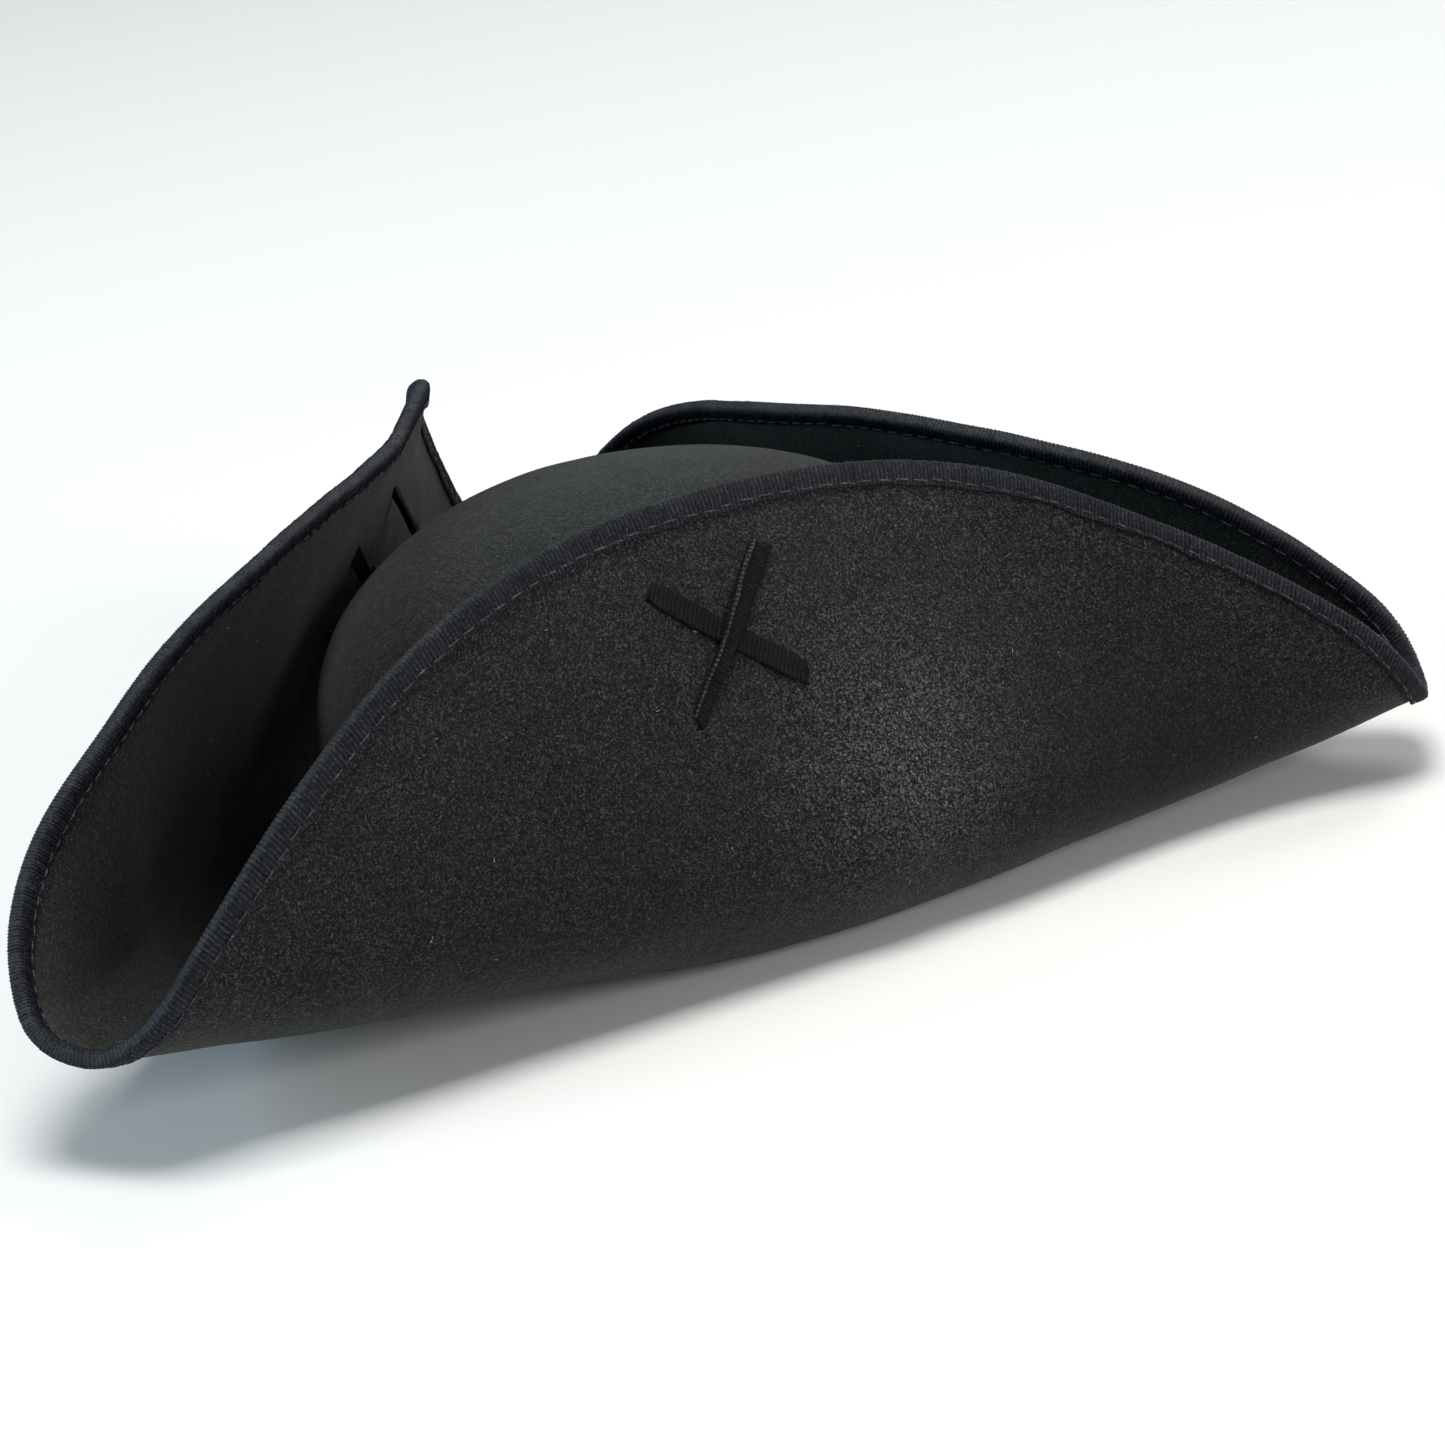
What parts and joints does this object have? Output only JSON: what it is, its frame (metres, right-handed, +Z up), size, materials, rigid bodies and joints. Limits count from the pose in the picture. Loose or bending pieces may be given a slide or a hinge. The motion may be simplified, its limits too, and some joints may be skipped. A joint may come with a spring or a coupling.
{
  "type": "pirate hat",
  "caption": "Felt tricorn hat with a round crown, a wide brim laced up on all sides to the crown, and a ribbed tape bound over its edge.",
  "frame": {"origin": "centre of the head opening, on the plane that the hat rests on", "axes": "+Z up through the crown, -Y towards the wearer's front, the longest extent along Y"},
  "size_m": [0.362, 0.3872, 0.1206],
  "materials": {
    "felt": "charcoal black wool felt, fine nap, matt",
    "binding": "ribbed woven tape, satin",
    "lace": "flat folded ribbon, low sheen",
    "sweatband": "twill band, matt",
    "thread": "sewing thread, slight gloss"
  },
  "bodies": {
    "root": {"brim": "felt", "crown": "felt", "edge_binding": "binding", "binding_thread": "thread", "sweatband": "sweatband", "headline_stitches": "thread", "sweatband_stitches": "thread", "lace_under_left": "lace", "lace_over_left": "lace", "lace_under_back": "lace", "lace_over_back": "lace", "lace_under_right": "lace", "lace_over_right": "lace"}
  },
  "joints": []
}
